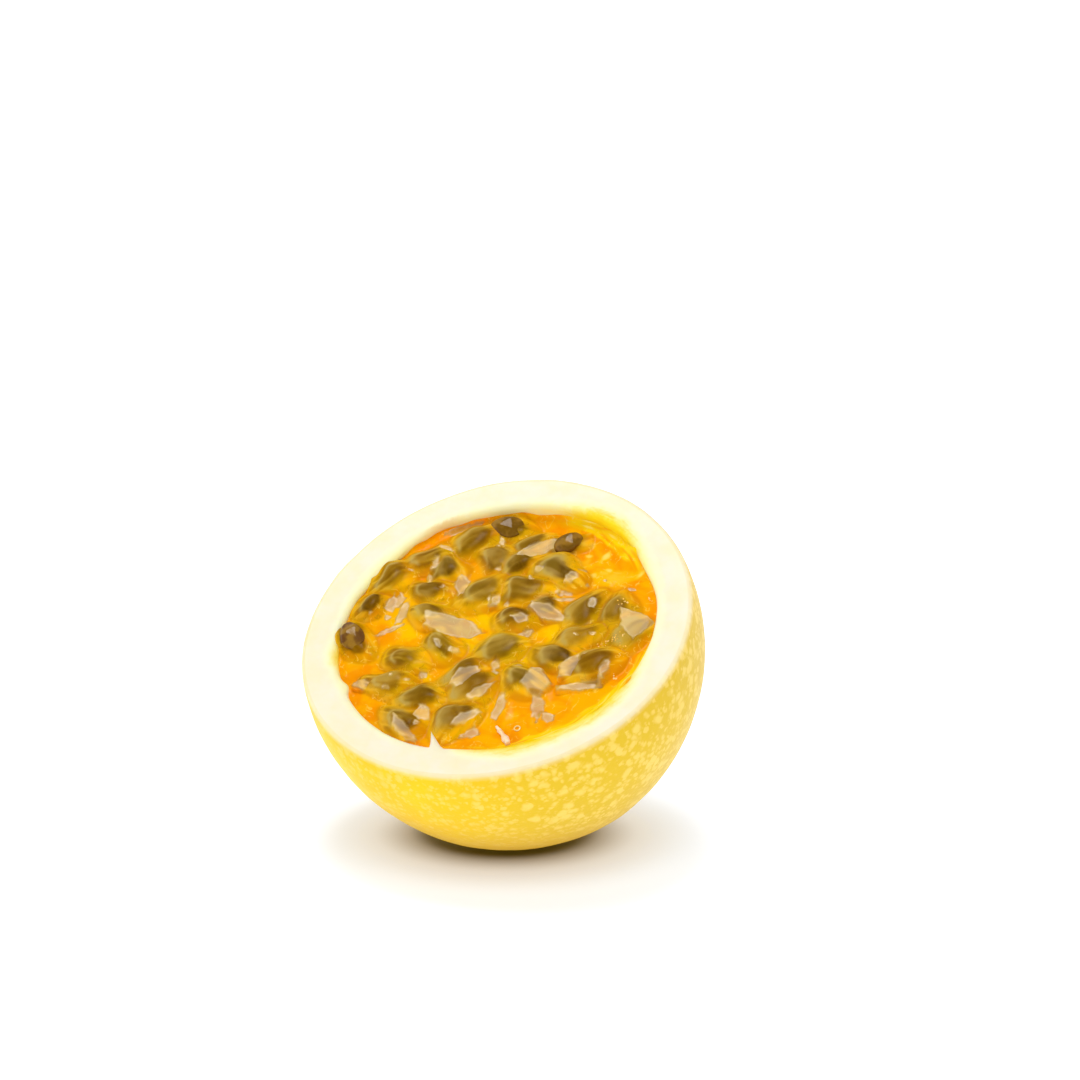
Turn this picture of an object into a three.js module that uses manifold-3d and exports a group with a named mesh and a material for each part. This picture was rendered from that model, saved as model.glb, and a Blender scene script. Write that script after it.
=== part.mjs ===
// Half of a yellow passion fruit, cut across its middle: a thick white peel with a yellow skin, filled
// with juicy orange pulp in which seed sacs are packed. The half leans back on a small flat spot, so
// that its cut face looks up and towards -Y. Millimetres, +Z up, origin in the middle of the flat spot.
import * as THREE from "three";
import { mergeVertices } from "three/addons/utils/BufferGeometryUtils.js";
import Module from "manifold-3d";

const wasm = await Module();
wasm.setup();

const { degToRad, lerp, smoothstep } = THREE.MathUtils;

// How the half stands. Shapes are made in the fruit's own frame, with the middle of the cut face at
// its origin and the fruit's axis along +Z, and are then leaned and lifted into place.
const LEAN = degToRad(31);
const CUT_CENTRE = new THREE.Vector3(0.2, -6.7, 41.6);

// Peel. Both its walls are parts of a superellipse of revolution whose widest ring lies a little
// below the cut, and depth is measured from that ring down to the pole.
const WIDEST_LEVEL = -6;
const ROUNDNESS = 1.9;
const SKIN = { radius: 35.4, depth: 38.4 };
const CAVITY = { radius: 28.9, depth: 32.2 };
const SKIN_EDGE_ROUND = 0.6;
const PITH_EDGE_ROUND = 1.3;

// The fruit has three carpels: the skin bulges softly over each, and the ridges of pith that carry
// the seeds stand between them.
const LOBE_SHARE = 0.008;
const LOBE_BEARING = degToRad(101);
const RIDGE = { height: 0.6, halfWidth: degToRad(11), bearings: [161, 281, 41].map(degToRad) };

// Pulp. Its wet surface lies a little below the cut, and is sunk further where juice has run out.
const PULP_GAP = 0.35;
const PULP_LEVEL = -2.2;
const SUNK = { depth: 1.9, bearing: degToRad(82), halfWidth: degToRad(38), from: 13, to: 25 };
const SAC = { long: 5.4, wide: 4.0, rise: 1.9, taper: 0.22, spread: 0.1, levelSpread: 0.35 };
const SAC_CREASE = 0.28; // how softly the sacs run into each other
const SEED = { long: 2.75, wide: 1.95, tall: 1.2, proud: 0.45, tilt: degToRad(10) };

// Where the sacs show: rings round the middle. Each sac has its bearing, and the turn of its long
// axis away from the spoke that it lies on, in degrees.
const SAC_RINGS = [
  { radius: 3.5, sacs: [[48, -31]] },
  { radius: 5.3, sacs: [[-55, 86]] },
  { radius: 9.2, sacs: [[127, -71], [83, -72], [41, -49]] },
  { radius: 10.5, sacs: [[-147, -59], [-101, -37]] },
  { radius: 13.8, sacs: [[176, -7], [-17, 0], [-48, 24], [-87, -52]] },
  { radius: 15.6, sacs: [[97, -46], [65, -88], [26, 47], [1, 36]] },
  { radius: 17.2, sacs: [[113, 43], [160, 17], [-143, -35]] },
  { radius: 19.2, sacs: [[141, -4], [-112, -55]] },
  { radius: 21.0, sacs: [[96, -49], [22, 83], [-13, 50], [-89, -15], [-131, -37]] },
  { radius: 23.0, sacs: [[145, 77], [123, -81], [79, -43]] },
  { radius: 25.2, sacs: [[178, 64], [162, 65], [109, 77], [-109, -83]] },
  { radius: 26.4, sacs: [[-164, -67]] },
];

const PEEL_AROUND = 60; // facets round the fruit
const PULP_AROUND = 72;
const SKIN_ROWS = 14;
const CAVITY_ROWS = 9;
const EDGE_ROWS = 3;
const PULP_RINGS = 16;
const DRAW_SEED = 7;

// A repeatable draw of numbers from -1 to 1.
function makeDraw(seed) {
  let state = seed;
  return () => {
    state = (Math.imul(state, 1664525) + 1013904223) >>> 0;
    return state / 2 ** 31 - 1;
  };
}

// The point of a wall at an angle below its widest ring: 0 is the ring and a right angle the pole.
function wallPoint(wall, angle) {
  const power = 2 / ROUNDNESS;
  const down = Math.sign(angle) * Math.abs(Math.sin(angle)) ** power;
  return new THREE.Vector2(wall.radius * Math.cos(angle) ** power, WIDEST_LEVEL - wall.depth * down);
}

// Points of a wall from the pole up to a level, evenly spaced in angle.
function wallProfile(wall, topLevel, rows) {
  const down = (WIDEST_LEVEL - topLevel) / wall.depth;
  const top = Math.sign(down) * Math.asin(Math.abs(down) ** (ROUNDNESS / 2));
  const points = [new THREE.Vector2(0, WIDEST_LEVEL - wall.depth)];
  for (let i = 1; i <= rows; i += 1) {
    points.push(wallPoint(wall, lerp(Math.PI / 2, top, i / rows)));
  }
  return points;
}

// A quarter turn from the top of a wall to the cut face. inwards is 1 where it turns towards the
// axis, and -1 where it turns away.
function roundedEdge(wallRadius, round, inwards) {
  const points = [];
  for (let i = 1; i <= EDGE_ROWS; i += 1) {
    const turn = (Math.PI / 2) * (i / EDGE_ROWS);
    const across = wallRadius - inwards * round * (1 - Math.cos(turn));
    points.push(new THREE.Vector2(across, -round * (1 - Math.sin(turn))));
  }
  return points;
}

// Turns an outline about the axis, and then changes each point, which is told its outline row.
function turned(outline, around, change) {
  const geometry = new THREE.LatheGeometry(outline, around).rotateX(Math.PI / 2);
  const position = geometry.getAttribute("position");
  const point = new THREE.Vector3();
  for (let i = 0; i < position.count; i += 1) {
    change(point.fromBufferAttribute(position, i), i % outline.length);
    position.setXYZ(i, point.x, point.y, point.z);
  }
  return geometry;
}

function solidFrom(geometry) {
  const bare = geometry.clone();
  bare.deleteAttribute("normal");
  bare.deleteAttribute("uv");
  const merged = mergeVertices(bare, 1e-4);
  return new wasm.Manifold(
    new wasm.Mesh({
      numProp: 3,
      vertProperties: merged.attributes.position.array,
      triVerts: new Uint32Array(merged.index.array),
    }),
  );
}

function geometryFrom(solid) {
  const mesh = solid.getMesh();
  const geometry = new THREE.BufferGeometry();
  geometry.setAttribute("position", new THREE.BufferAttribute(mesh.vertProperties, 3));
  geometry.setIndex(new THREE.BufferAttribute(mesh.triVerts, 1));
  return geometry;
}

function lobed(point) {
  const bearing = Math.atan2(point.y, point.x);
  const share = 1 + LOBE_SHARE * Math.cos(3 * (bearing - LOBE_BEARING));
  return point.set(point.x * share, point.y * share, point.z);
}

// How near a bearing is to another one, from 0 far away to 1 at it.
function nearness(bearing, other, halfWidth) {
  const away = Math.atan2(Math.sin(bearing - other), Math.cos(bearing - other));
  return Math.exp(-((away / halfWidth) ** 2));
}

function ridged(point) {
  const radius = Math.hypot(point.x, point.y);
  const bearing = Math.atan2(point.y, point.x);
  const outer = smoothstep(radius, 0.4 * CAVITY.radius, 0.95 * CAVITY.radius);
  const height = RIDGE.bearings.reduce(
    (sum, ridge) => sum + RIDGE.height * outer * nearness(bearing, ridge, RIDGE.halfWidth),
    0,
  );
  const share = radius > 0 ? (radius - height) / radius : 1;
  return lobed(point.set(point.x * share, point.y * share, point.z));
}

// The peel's skin is lobed, and its inner wall is ridged as well.
function makePeel() {
  const skin = wallProfile(SKIN, -SKIN_EDGE_ROUND, SKIN_ROWS);
  const cavity = wallProfile(CAVITY, -PITH_EDGE_ROUND, CAVITY_ROWS);
  const outer = [...skin, ...roundedEdge(skin.at(-1).x, SKIN_EDGE_ROUND, 1)];
  const inner = [...cavity, ...roundedEdge(cavity.at(-1).x, PITH_EDGE_ROUND, -1)];
  const change = (point, row) => (row < outer.length ? lobed(point) : ridged(point));
  return solidFrom(turned([...outer, ...inner.reverse()], PEEL_AROUND, change));
}

// The sacs, each with its place, heading, size and level.
function placeSacs() {
  const draw = makeDraw(DRAW_SEED);
  return SAC_RINGS.flatMap(({ radius, sacs }) =>
    sacs.map(([bearing, turn]) => ({
      x: radius * Math.cos(degToRad(bearing)),
      y: radius * Math.sin(degToRad(bearing)),
      heading: degToRad(bearing + turn),
      size: 1 + SAC.spread * draw(),
      level: SAC.levelSpread * draw(),
      tilt: SEED.tilt * draw(),
    })),
  );
}

// The level of the juice between the sacs.
function juiceLevel(x, y) {
  const outer = smoothstep(Math.hypot(x, y), SUNK.from, SUNK.to);
  return PULP_LEVEL - SUNK.depth * outer * nearness(Math.atan2(y, x), SUNK.bearing, SUNK.halfWidth);
}

// The top of one sac: a mound, long along its heading and narrower at its far end.
function sacLevel(sac, x, y) {
  const along = (x - sac.x) * Math.cos(sac.heading) + (y - sac.y) * Math.sin(sac.heading);
  const across = (y - sac.y) * Math.cos(sac.heading) - (x - sac.x) * Math.sin(sac.heading);
  const u = along / (SAC.long * sac.size);
  const v = across / (SAC.wide * sac.size * (1 - SAC.taper * THREE.MathUtils.clamp(u, -1, 1)));
  return juiceLevel(sac.x, sac.y) + sac.level + SAC.rise * (1 - u * u - v * v);
}

// The wet surface: the highest of juice and sacs, with the creases between them softened.
function pulpSurface(sacs, x, y) {
  const levels = [juiceLevel(x, y), ...sacs.map((sac) => sacLevel(sac, x, y))];
  const sum = levels.reduce((total, level) => total + Math.exp(level / SAC_CREASE), 0);
  return SAC_CREASE * Math.log(sum);
}

// A flat seed that stands a little proud of its sac.
function makeSeed(sac, sacs) {
  const level = pulpSurface(sacs, sac.x, sac.y) + SEED.proud - SEED.tall;
  const seed = new THREE.SphereGeometry(1, 8, 5).rotateX(Math.PI / 2);
  seed.scale(SEED.long * sac.size, SEED.wide * sac.size, SEED.tall);
  return solidFrom(seed.rotateY(sac.tilt).rotateZ(sac.heading).translate(sac.x, sac.y, level));
}

function makePulp() {
  const sacs = placeSacs();
  const wall = { radius: CAVITY.radius - PULP_GAP, depth: CAVITY.depth - PULP_GAP };
  const outline = wallProfile(wall, WIDEST_LEVEL, CAVITY_ROWS);
  const edge = wallPoint(wall, 0).x - PULP_GAP / 2;
  for (let i = 0; i <= PULP_RINGS; i += 1) {
    outline.push(new THREE.Vector2(edge * (1 - i / PULP_RINGS), 0));
  }
  const change = (point, row) => {
    ridged(point);
    return row > CAVITY_ROWS ? point.setZ(pulpSurface(sacs, point.x, point.y)) : point;
  };
  const body = solidFrom(turned(outline, PULP_AROUND, change));
  return sacs.reduce((pulp, sac) => pulp.add(makeSeed(sac, sacs)), body);
}

// Leans a solid back, lifts it into place, and cuts the flat spot that it stands on.
function stand(solid) {
  const geometry = geometryFrom(solid).rotateX(LEAN).translate(...CUT_CENTRE.toArray());
  const side = 4 * SKIN.radius;
  const ground = new THREE.BoxGeometry(side, side, side).translate(0, 0, -side / 2);
  return geometryFrom(solidFrom(geometry).subtract(solidFrom(ground)));
}

function named(name, solid, look) {
  const mesh = new THREE.Mesh(stand(solid), new THREE.MeshStandardMaterial(look));
  mesh.name = name;
  return mesh;
}

const half = new THREE.Group();
half.add(named("peel", makePeel(), { color: 0xf2d23c, roughness: 0.45, metalness: 0 }));
half.add(named("pulp", makePulp(), { color: 0xf0a010, roughness: 0.15, metalness: 0 }));

export default half;
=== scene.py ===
"""Half of a yellow passion fruit: waxy yellow skin, white pith, and wet orange pulp with dark seeds."""

import math

import bpy
import numpy as np
from mathutils import Matrix, Vector, noise


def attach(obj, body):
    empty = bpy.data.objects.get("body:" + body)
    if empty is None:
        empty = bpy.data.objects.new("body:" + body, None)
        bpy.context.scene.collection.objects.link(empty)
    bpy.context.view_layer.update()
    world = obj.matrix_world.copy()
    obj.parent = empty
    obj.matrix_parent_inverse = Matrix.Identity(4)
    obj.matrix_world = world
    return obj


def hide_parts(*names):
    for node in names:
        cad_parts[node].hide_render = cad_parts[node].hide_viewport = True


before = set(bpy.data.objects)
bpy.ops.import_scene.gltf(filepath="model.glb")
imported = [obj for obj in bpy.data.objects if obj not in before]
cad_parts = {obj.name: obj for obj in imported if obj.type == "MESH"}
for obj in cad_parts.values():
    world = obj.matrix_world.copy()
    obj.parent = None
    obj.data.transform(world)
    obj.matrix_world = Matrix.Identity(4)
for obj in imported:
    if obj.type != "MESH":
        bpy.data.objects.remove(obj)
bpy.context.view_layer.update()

MM = 0.001

# How the half stands. Shapes are made in the fruit's own frame, with the middle of the cut face at
# its origin and the fruit's axis along +Z, and are then leaned and lifted into place.
LEAN = math.radians(31)
CUT_CENTRE = Vector((0.2, -6.7, 41.6)) * MM
STAND = Matrix.Translation(CUT_CENTRE) @ Matrix.Rotation(LEAN, 4, "X")

# Peel. Both walls are superellipses of revolution, with their widest ring below the cut.
WIDEST_LEVEL = -6 * MM
ROUNDNESS = 1.9
SKIN = {"radius": 35.4 * MM, "depth": 38.4 * MM}
CAVITY = {"radius": 28.9 * MM, "depth": 32.2 * MM}
POLE = STAND @ Vector((0, 0, WIDEST_LEVEL - SKIN["depth"]))  # where the fruit hung from its stem
SKIN_EDGE_ROUND = 0.6 * MM
PITH_EDGE_ROUND = 1.3 * MM
SKIN_FADE = (-0.5 * MM, 1.1 * MM)  # depths below the cut between which the skin turns from white to yellow
PEEL_AROUND = 420  # faces round the fruit
SKIN_ROWS, SKIN_EDGE_ROWS, CUT_ROWS, PITH_EDGE_ROWS, CAVITY_ROWS = 92, 8, 20, 12, 46

# The fruit has three carpels: the skin bulges softly over each, and ridges of pith stand between them.
LOBE_SHARE = 0.008
LOBE_BEARING = math.radians(101)
RIDGE_HEIGHT = 0.6 * MM
RIDGE_HALF_WIDTH = math.radians(11)
RIDGE_BEARINGS = [math.radians(bearing) for bearing in (161, 281, 41)]

# Flaps of torn pith that stand in from the wall: the bearing of each one, half its width and the
# lean of its tip in degrees, and its share of the full reach.
FLAP_REACH = 3.6 * MM
FLAPS = [(271, 1.25, -6.5, 1.0), (220, 3.2, 0.0, 0.24)]

# Where pulp clings to the pith and stains it: the bearing and half width of each stretch in degrees,
# and how clearly. Then how many millimetres farther than elsewhere the stain reaches over the cut.
STAINS = [(329, 24, 1.0), (296, 17, 0.8), (68, 20, 1.0), (206, 9, 0.7)]
STAIN_REACHES = [(329, 24, 2.6), (68, 18, 2.2), (268, 6, -5.0), (206, 8, 1.2), (298, 14, 1.6)]
STAIN_START = 30.4 * MM  # the radius where stains start on the cut
DRIED_FILM = [(133, 8, 1.0)]  # where a film of juice has dried on the wall

# Pulp: the level of its juice, which is sunk where some has run out.
PULP_LEVEL = -1.8 * MM
SUNK_DEPTH = 2.1 * MM
SUNK_BEARING = math.radians(88)
SUNK_HALF_WIDTH = math.radians(42)
SUNK_FROM, SUNK_TO = 13 * MM, 25 * MM
PULP_SIDE = 290  # squares along each side of the grid that the pulp's surface is made from
BOWL_ROWS = 8  # rows of faces below it, down to the pole
PULP_REACH = 0.4 * MM  # how far the pulp runs into the pith, so that no gap shows
PULP_CLIMB = 0.8 * MM  # how high the juice clings up the wall, and how far from it
WAVE_HEIGHT, WAVE_SIZE = 0.35 * MM, 3.2 * MM  # small waves of the whole wet surface
TORN_BEARING = math.radians(56)  # where streaks of torn flesh lie in the juice
CLINGING = [(math.radians(-36), 0.55), (math.radians(66), 0.3)]  # where fibres cling to the wall

# Sacs, which stand out of the juice: half their length and width, and how high they are.
SAC_LONG, SAC_WIDE, SAC_RISE = 5.6 * MM, 3.9 * MM, 1.7 * MM
SAC_TAPER = 0.15  # the share by which they narrow towards one end
SAC_FLATNESS = 1.15  # how flat their tops are, where 1 is a plain dome
SAC_SPREAD = 0.12  # how much their sizes differ
SAC_LEVEL_SPREAD = 0.45 * MM  # how much their heights differ
SAC_CREASE = 0.14 * MM  # how softly they run into each other
SWIRL, SWIRL_SIZE = 1.5 * MM, 5.5 * MM  # how far slow swirls bend the sacs, and how large they are

# Seeds, one in each sac: half their length, width and thickness.
SEED_LONG, SEED_WIDE, SEED_TALL = 2.75 * MM, 1.95 * MM, 1.2 * MM
SEED_PROUD = 0.45 * MM  # how far a seed stands out of its sac
SEED_COVER = 0.45 * MM  # how much lower it lies where flesh still covers it
SEED_BLEND = 0.4 * MM  # how softly such a seed stands out of its sac
SEED_TILT = math.radians(10)
LIT_SIDE_BEARING = math.radians(171)  # the lit side of each seed, which is painted paler: flesh veils it there, with a painted sheen
BARE_SHOW = 0.94  # a seed that shows at least this much has no flesh left over it
BARE_SIZE = 1.12  # how much larger such a seed looks
SEED_LIFT = 0.7 * MM  # how much higher it lies
SEED_FACET = 0.84  # the share of its half thickness at which it has wet facets

DRAW_SEED = 7  # where the draw of all uneven sizes and places starts

# How the wet surface looks at each of its points, as values from 0 to 1 that its material reads.
LOOKS = (
    "seed",  # a seed shows
    "veil_and_sheen",  # flesh veils that seed, and a sheen is painted on its lit side
    "flesh",  # the dark flesh of a sac
    "rim",  # the lit rim of a sac
    "thread",  # thin pale threads along a sac
    "flow",  # dark and light lines that flow along a sac
    "tint",  # from greener sacs to browner ones
    "gold",  # any sac, rather than bare juice
    "crease_shade",  # painted shade in the dip where sacs meet
    "lit_hood",  # pale flesh over the lit side of a seed, painted paler where light falls on it
    "film",  # a film of juice, its colour painted paler as a highlight
    "edge",  # the edge of such a film, painted as a pale highlight rim
    "torn",  # torn flesh in the juice
    "fibre",  # fibres along the wall
    "middle",  # the lighter juice near the middle
)

# Rings of sacs round the middle. Each sac has its bearing, the turn of its long axis away from its
# spoke, both in degrees, and how clearly its seed shows.
SAC_RINGS = [
    (3.5, [(48, -31, 0.55)]),
    (5.3, [(-55, 86, 0.5)]),
    (9.2, [(127, -71, 0.45), (83, -72, 0.35), (41, -49, 0.7)]),
    (10.5, [(-147, -59, 0.4), (-101, -37, 0.3)]),
    (13.8, [(176, -7, 0.5), (-17, 0, 0.8), (-48, 24, 0.65), (-87, -52, 0.3)]),
    (15.6, [(97, -46, 0.8), (65, -88, 0.85), (26, 47, 0.35), (1, 36, 0.2)]),
    (17.2, [(113, 43, 0.6), (160, 17, 0.6), (-143, -35, 0.35)]),
    (19.2, [(141, -4, 0.8), (-112, -55, 0.45)]),
    (21.0, [(96, -49, 0.4), (22, 83, 0.5), (-13, 50, 0.25), (-89, -15, 0.6), (-131, -37, 0.25)]),
    (23.0, [(145, 77, 0.3), (123, -81, 0.4), (79, -43, 1.0)]),
    (25.2, [(178, 64, 0.9), (162, 65, 0.25), (109, 77, 1.0), (-109, -83, 0.6), (8, 60, 0.05)]),
    (26.4, [(-164, -67, 1.0)]),
]

# Films of juice that lie flat over dips between sacs: the radius and bearing of each one's middle,
# half its length and width in millimetres, and the bearing of its long axis.
FILMS = [
    (4.7, 27, 1.5, 1.0, 6), (5.6, -2, 1.1, 0.75, 31), (6.3, 116, 1.3, 0.9, 66),
    (8.1, -170, 5.2, 2.1, -6), (8.7, -130, 1.0, 0.7, 21), (8.7, -69, 0.9, 0.7, 86),
    (8.8, 33, 3.2, 1.6, -14), (10.6, -146, 1.1, 0.45, -44), (11.4, -94, 3.0, 1.4, 54),
    (12.5, 44, 2.1, 0.4, 24), (13.4, 50, 1.5, 0.5, 6), (14.3, 140, 2.3, 1.1, -72),
    (14.4, 80, 1.0, 0.8, 36), (14.9, -79, 2.3, 1.0, 51), (15.6, -126, 0.8, 0.6, 16),
    (15.9, -43, 3.1, 2.1, -69), (16.0, 55, 1.3, 1.0, 86), (17.3, 28, 1.3, 0.6, -89),
    (17.7, -21, 2.2, 1.9, 66), (18.3, -67, 3.0, 0.8, -89), (19.1, 153, 1.1, 0.5, -64),
    (19.1, 178, 2.5, 0.7, -84), (19.9, 91, 3.6, 2.1, 48), (20.1, -169, 2.4, 0.5, 46),
    (20.7, -47, 2.6, 1.0, -64), (21.0, 145, 1.4, 0.5, -84), (21.0, 171, 1.5, 1.0, -84),
    (21.1, -82, 2.6, 1.2, 54), (21.6, -104, 1.6, 1.2, 86),
    (21.7, -27, 3.5, 0.8, 26), (22.0, 111, 1.1, 0.4, -64), (22.0, 175, 1.9, 0.9, -84),
    (23.4, 136, 1.2, 0.5, -9), (23.6, -79, 1.7, 0.9, 51), (23.6, -14, 2.0, 0.8, -89),
    (23.7, -46, 1.3, 0.8, -34), (24.7, 13, 3.6, 2.6, -39), (25.6, -138, 1.6, 1.2, 36),
    (26.5, -106, 2.9, 1.2, -29), (27.7, 128, 3.0, 0.7, 38),
]

# Small films besides, anywhere within a reach of the middle, in millimetres.
GLINTS = 26
GLINT_REACH = 25
GLINT_SIZE = 0.42

# Pale grains of torn flesh in the juice: radius, bearing, and half the length and width.
GRAINS = [
    (24.1, 60, 2.1, 1.6), (24.9, 70, 1.4, 1.1), (19.9, 54, 1.4, 1.3), (22.6, 51, 1.2, 1.3),
    (26.9, 40, 2.2, 0.9), (22.5, 66, 1.1, 1.0), (26.3, 75, 1.3, 1.0), (21.4, 74, 1.0, 0.8),
]

# Patches of froth: radius, bearing, how far the bubbles spread, and how many there are.
FROTH = [
    (21.4, 4, 1.1, 14), (19.9, -1, 0.9, 9), (23.4, 3, 1.5, 12), (24.9, -4, 0.6, 6), (25.4, -14, 0.7, 5),
    (22.4, 24, 0.9, 8), (27.0, 26, 0.6, 6), (22.6, 80, 0.8, 8), (23.3, -62, 0.9, 6),
]
BUBBLE_RADIUS = 0.21 * MM

# The torn stalk of a lost seed: radius, bearing and half thickness along it.
SEED_STALK = [
    (22.6, -68, 0.22), (23.8, -66.5, 0.4), (24.9, -65.2, 0.36), (26.0, -64.3, 0.55), (27.3, -63.4, 0.45),
]

# One large bubble: its radius and bearing, and how large it is.
BUBBLE_PLACE = (24.0, -59.2)
BUBBLE_RING = 0.5 * MM
BUBBLE_POINTS = 12

# All films slope alike, towards the light.
FILM_SLOPE = 0.22
FILM_FALL = math.radians(-12)  # the bearing that they slope down towards
FILM_EDGE = 0.35 * MM
FILM_RAGGEDNESS = 0.27 * MM
FILM_NORMAL = Vector((FILM_SLOPE * math.cos(FILM_FALL), FILM_SLOPE * math.sin(FILM_FALL), 1)).normalized()
FILM_NORMAL.rotate(Matrix.Rotation(LEAN, 3, "X"))
FILM_FILL = 0.6  # the share of what lies under a film that the film is above

# The facets of a bare seed: how far each one leans from how films lie, and towards which bearing,
# both in degrees, and how much farther it is from the seed's middle.
FACETS = [(0, 0, 1.0), (27, 35, 1.2), (30, 150, 1.22), (26, 265, 1.14)]

# Camera: it looks at the cut face from its open side, from a little above the table.
CAMERA_AZIMUTH = math.radians(25.5)
CAMERA_ELEVATION = math.radians(17)
CAMERA_DISTANCE = 600 * MM
CAMERA_LENS = 114.8
CAMERA_AIM_RIGHT, CAMERA_AIM_UP = 7.7 * MM, 14.5 * MM  # how far past the middle of the cut face it looks

# Light: a softbox high above, and a table that glows everywhere except where the fruit stands, where its
# shadow is painted.
SOFTBOX_PLACE = CUT_CENTRE + Vector((-57, 4, 718)) * MM
SOFTBOX_SIZE = (260 * MM, 210 * MM)
SOFTBOX_POWER = 2.9
TABLE_SIDE = 12.0

# The shade under the fruit: an oval that is wider from side to side than from front to back. The
# distances from its middle between which its colours change, and between which the glow of the table
# rises, each rise with its share of the whole.
SHADE_MIDDLE = (-1 * MM, -0.5 * MM, 0)
SHADE_WIDENING = 1.3
SHADE_DARKEST = (10 * MM, 13.5 * MM)
SHADE_WARMEST = (15 * MM, 28 * MM)
GLOW_RISES = [(10.4 * MM, 19 * MM, 0.48), (16 * MM, 30 * MM, 0.28), (28 * MM, 150 * MM, 0.24)]

# Colours, as screen values from 0 to 255. Where there are two, a surface varies between them.
GOLDEN_SKIN = (243, 197, 0), (248, 206, 0)
DULLER_SKIN = (225, 186, 38)
SKIN_SPOT = (250, 218, 112)
SKIN_SHADE_NEAR_TABLE = (222, 172, 0)
SKIN_DOT = (130, 96, 20)
ROUND_SCAR = (226, 196, 96)
STEM_SCAR = (146, 112, 56)
WHITE_PITH = (247, 239, 215), (247, 236, 198)
PALE_PITH = (254, 250, 206)
STAINED_PITH = (255, 246, 160), (254, 220, 16)
STAIN_STREAK = (253, 208, 6)
DRIED_JUICE = (232, 192, 120)
OUTER_JUICE = (247, 150, 0), (252, 176, 0)
INNER_JUICE = (248, 166, 0), (253, 196, 0)
TORN_FLESH = (253, 198, 10), (253, 220, 104)
WALL_FIBRE = (254, 212, 8), (254, 234, 120)
GOLDEN_FLESH = (206, 138, 0), (248, 186, 2)
GREENISH_GOLD = (204, 158, 4)
GREEN_FLESH = (132, 98, 0), (198, 156, 12)
BROWN_FLESH = (134, 88, 0), (202, 146, 16)
CREASE_SHADE = (200, 118, 0)
PALE_MEMBRANE = (253, 214, 84)
DARK_WRINKLE = (140, 90, 4)
LIT_FLESH_HAZE = (198, 168, 66)
LIT_RIM = (238, 182, 18)
PALE_THREAD = (240, 196, 60)
DARK_SEED = (74, 46, 0), (112, 76, 2)
VEILED_AND_LIT_SEED = (126, 98, 26), (160, 130, 66)
LIT_SEED_HOOD = (190, 164, 84)
FILM_HIGHLIGHT = (186, 180, 132)
FILM_RIM_HIGHLIGHT = (252, 232, 170)
SEED_COAT = (112, 78, 8), (104, 66, 26)
SEED_BLOTCH = (150, 110, 34)
SEED_PIT = (136, 100, 40)
FROTH_COLOURS = (250, 196, 70), (252, 220, 140)
STALK_COLOURS = (252, 232, 200), (250, 208, 160)
DARKEST_SHADE = (136, 120, 26)
WARM_SHADE = (194, 189, 164)
OPEN_TABLE = (186, 192, 206)
TABLE_GLOW = (0, 0, 0), (248, 251, 255)


# ---------------------------------------------------------------- node trees


class Socket:
    """An output of a node, on which Python's arithmetic adds Math nodes."""

    def __init__(self, nodes, socket):
        self.nodes = nodes
        self.socket = socket

    def math(self, operation, *values):
        return self.nodes.add("ShaderNodeMath", {"operation": operation}, dict(enumerate(values)))

    def __add__(self, other):
        return self.math("ADD", self, other)

    def __radd__(self, other):
        return self.math("ADD", other, self)

    def __sub__(self, other):
        return self.math("SUBTRACT", self, other)

    def __rsub__(self, other):
        return self.math("SUBTRACT", other, self)

    def __mul__(self, other):
        return self.math("MULTIPLY", self, other)

    def __rmul__(self, other):
        return self.math("MULTIPLY", other, self)

    def __pow__(self, other):
        return self.math("POWER", self, other)

    def at_least(self, other):
        return self.math("MAXIMUM", self, other)

    def size(self):
        return self.math("ABSOLUTE", self)

    def exp(self):
        return self.math("EXPONENT", self)

    def cos(self):
        return self.math("COSINE", self)

    def sin(self):
        return self.math("SINE", self)

    def step(self, start, end):
        """0 below start and 1 above end, with a smooth rise between them."""
        settings = {"interpolation_type": "SMOOTHSTEP"}
        values = {"Value": self, "From Min": start, "From Max": end}
        return self.nodes.add("ShaderNodeMapRange", settings, values)

    def other(self, name):
        """Another output of the same node."""
        return Socket(self.nodes, self.socket.node.outputs[name])

    def part(self, index):
        return self.nodes.add("ShaderNodeSeparateXYZ", {}, {0: self}, out=index)


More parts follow.
